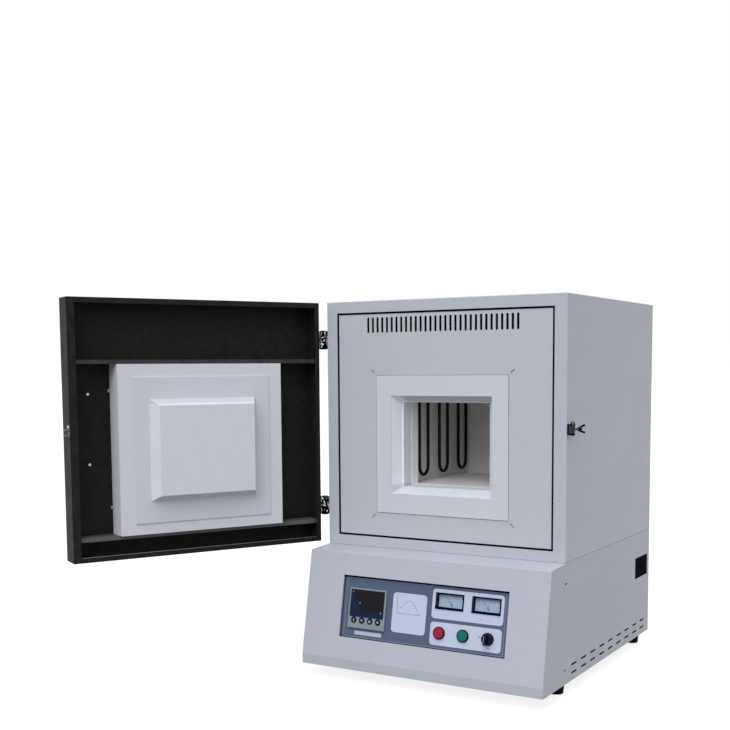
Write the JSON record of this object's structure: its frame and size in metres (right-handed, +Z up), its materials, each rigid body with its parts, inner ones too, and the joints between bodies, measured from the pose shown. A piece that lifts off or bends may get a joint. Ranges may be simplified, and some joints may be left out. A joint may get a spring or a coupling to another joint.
{
  "type": "box furnace",
  "caption": "Bench box furnace: ceramic chamber behind an open insulated tray door, over a sloped base with controller, meters, push buttons and a selector.",
  "frame": {"origin": "on the floor, in the middle of the four feet", "axes": "+X to the right seen from the front, +Y from the front to the back, +Z up; the control slope and the door side face -Y"},
  "size_m": [0.9661, 1.1611, 0.866],
  "materials": {
    "cabinet_paint": "light grey powder coat",
    "panel_paint": "light grey powder coat",
    "ceramic_board": "pressed white ceramic fibre board",
    "chamber_board": "fired ceramic fibre board",
    "element": "dark glazed rod",
    "strap": "bare",
    "black_steel": "black satin",
    "door_black": "black satin powder coat",
    "bright_steel": "bright",
    "rubber": "matte",
    "slate_panel": "printed film",
    "black_plastic": "satin moulded",
    "controller_grey": "satin moulded",
    "screen": "dark glossy",
    "dial": "white",
    "window": "clear",
    "needle": "black",
    "red_plastic": "red",
    "green_plastic": "green",
    "chrome": "polished",
    "core_steel": "lacquered laminations",
    "coil": "varnished winding",
    "sink": "extruded",
    "terminal": "cream moulded"
  },
  "bodies": {
    "cabinet": {"base_casing": "cabinet_paint", "base_plate": "cabinet_paint", "cabinet_screws": "bright_steel", "cable_gland": "black_plastic", "chamber_floor": "chamber_board", "chamber_front_wall": "chamber_board", "chamber_rear_wall": "chamber_board", "chamber_roof": "chamber_board", "chamber_side_walls": "chamber_board", "control_fascia": "slate_panel", "controller_case": "controller_grey", "controller_screen": "screen", "deck_plate": "cabinet_paint", "element_clamps": "ceramic_board", "element_straps": "strap", "fan_frame": "black_plastic", "feet": "rubber", "front_panel": "panel_paint", "heat_sink": "sink", "heating_elements": "element", "hinge_frame_leaves": "black_steel", "hinge_pins": "black_steel", "insulation_boards": "ceramic_board", "latch_bracket": "black_steel", "latch_pin": "black_steel", "main_breaker": "black_plastic", "meter_cases": "black_plastic", "meter_dials": "dial", "meter_windows": "window", "power_regulator": "black_plastic", "rear_covers": "cabinet_paint", "switch_bodies": "chrome", "terminal_block": "terminal", "thermocouple": "bright_steel", "throat_collar": "ceramic_board", "transformer_coil": "coil", "transformer_core": "core_steel", "upper_casing": "cabinet_paint"},
    "door": {"door_tray": "door_black", "door_crossbars": "door_black", "door_slab": "ceramic_board", "door_seal_pad": "ceramic_board", "door_plug": "ceramic_board", "door_screws": "bright_steel", "door_slab_tabs": "door_black", "latch_keeper": "black_steel", "hinge_door_leaves": "black_steel"},
    "latch_bolt_body": {"latch_bolt": "black_steel"},
    "wing_nut_body": {"wing_nut": "black_steel"},
    "stop_button_body": {"stop_button": "red_plastic"},
    "start_button_body": {"start_button": "green_plastic"},
    "selector_body": {"selector_knob": "black_plastic"},
    "voltmeter_needle_body": {"voltmeter_needle": "needle"},
    "ammeter_needle_body": {"ammeter_needle": "needle"},
    "fan_rotor_body": {"fan_rotor": "black_plastic"},
    "breaker_toggle_body": {"breaker_toggle": "black_plastic"},
    "key_1_body": {"controller_key_1": "black_plastic"},
    "key_2_body": {"controller_key_2": "black_plastic"},
    "key_3_body": {"controller_key_3": "black_plastic"},
    "key_4_body": {"controller_key_4": "black_plastic"}
  },
  "joints": [
    {"name": "door_hinge", "type": "hinge", "parent": "cabinet", "child": "door", "pos_m": [-0.309, -0.2935, 0.5815], "axis": [0, 0, -1], "range_deg": [-118, 62]},
    {"name": "latch_swing", "type": "hinge", "parent": "cabinet", "child": "latch_bolt_body", "pos_m": [0.3103, -0.283, 0.579], "axis": [0, 0, 1], "range_deg": [-165, 15]},
    {"name": "wing_nut_spin", "type": "hinge", "parent": "latch_bolt_body", "child": "wing_nut_body", "pos_m": [0.31698, -0.25808, 0.579], "axis": [0.2588, 0.9659, 0], "continuous": true},
    {"name": "stop_button_press", "type": "slide", "parent": "cabinet", "child": "stop_button_body", "axis": [0, -0.9832, 0.1828], "range_m": [-0.002, 0], "stiffness_N_per_m": 500, "springref_m": 0.001},
    {"name": "start_button_press", "type": "slide", "parent": "cabinet", "child": "start_button_body", "axis": [0, -0.9832, 0.1828], "range_m": [-0.002, 0], "stiffness_N_per_m": 500, "springref_m": 0.001},
    {"name": "selector_turn", "type": "hinge", "parent": "cabinet", "child": "selector_body", "pos_m": [0.1654, -0.39617, 0.13514], "axis": [0, 0.9832, -0.1828], "range_deg": [0, 90]},
    {"name": "voltmeter_needle_swing", "type": "hinge", "parent": "cabinet", "child": "voltmeter_needle_body", "pos_m": [0.0682, -0.3847, 0.19689], "axis": [0, 0.9832, -0.1828], "range_deg": [0, 84], "stiffness_Nm_per_rad": 0.0002},
    {"name": "ammeter_needle_swing", "type": "hinge", "parent": "cabinet", "child": "ammeter_needle_body", "pos_m": [0.1563, -0.3847, 0.19689], "axis": [0, 0.9832, -0.1828], "range_deg": [0, 84], "stiffness_Nm_per_rad": 0.0002},
    {"name": "cooling_fan_spin", "type": "hinge", "parent": "cabinet", "child": "fan_rotor_body", "pos_m": [-0.06, 0.2825, 0.178], "axis": [0, 1, 0], "continuous": true},
    {"name": "breaker_toggle_swing", "type": "hinge", "parent": "cabinet", "child": "breaker_toggle_body", "pos_m": [0.29, 0.2405, 0.2045], "axis": [0, 1, 0], "range_deg": [0, 40]},
    {"name": "key_1_press", "type": "slide", "parent": "cabinet", "child": "key_1_body", "axis": [0, -0.9832, 0.1828], "range_m": [-0.0008, 0], "stiffness_N_per_m": 250, "springref_m": 0.0004},
    {"name": "key_2_press", "type": "slide", "parent": "cabinet", "child": "key_2_body", "axis": [0, -0.9832, 0.1828], "range_m": [-0.0008, 0], "stiffness_N_per_m": 250, "springref_m": 0.0004},
    {"name": "key_3_press", "type": "slide", "parent": "cabinet", "child": "key_3_body", "axis": [0, -0.9832, 0.1828], "range_m": [-0.0008, 0], "stiffness_N_per_m": 250, "springref_m": 0.0004},
    {"name": "key_4_press", "type": "slide", "parent": "cabinet", "child": "key_4_body", "axis": [0, -0.9832, 0.1828], "range_m": [-0.0008, 0], "stiffness_N_per_m": 250, "springref_m": 0.0004}
  ]
}
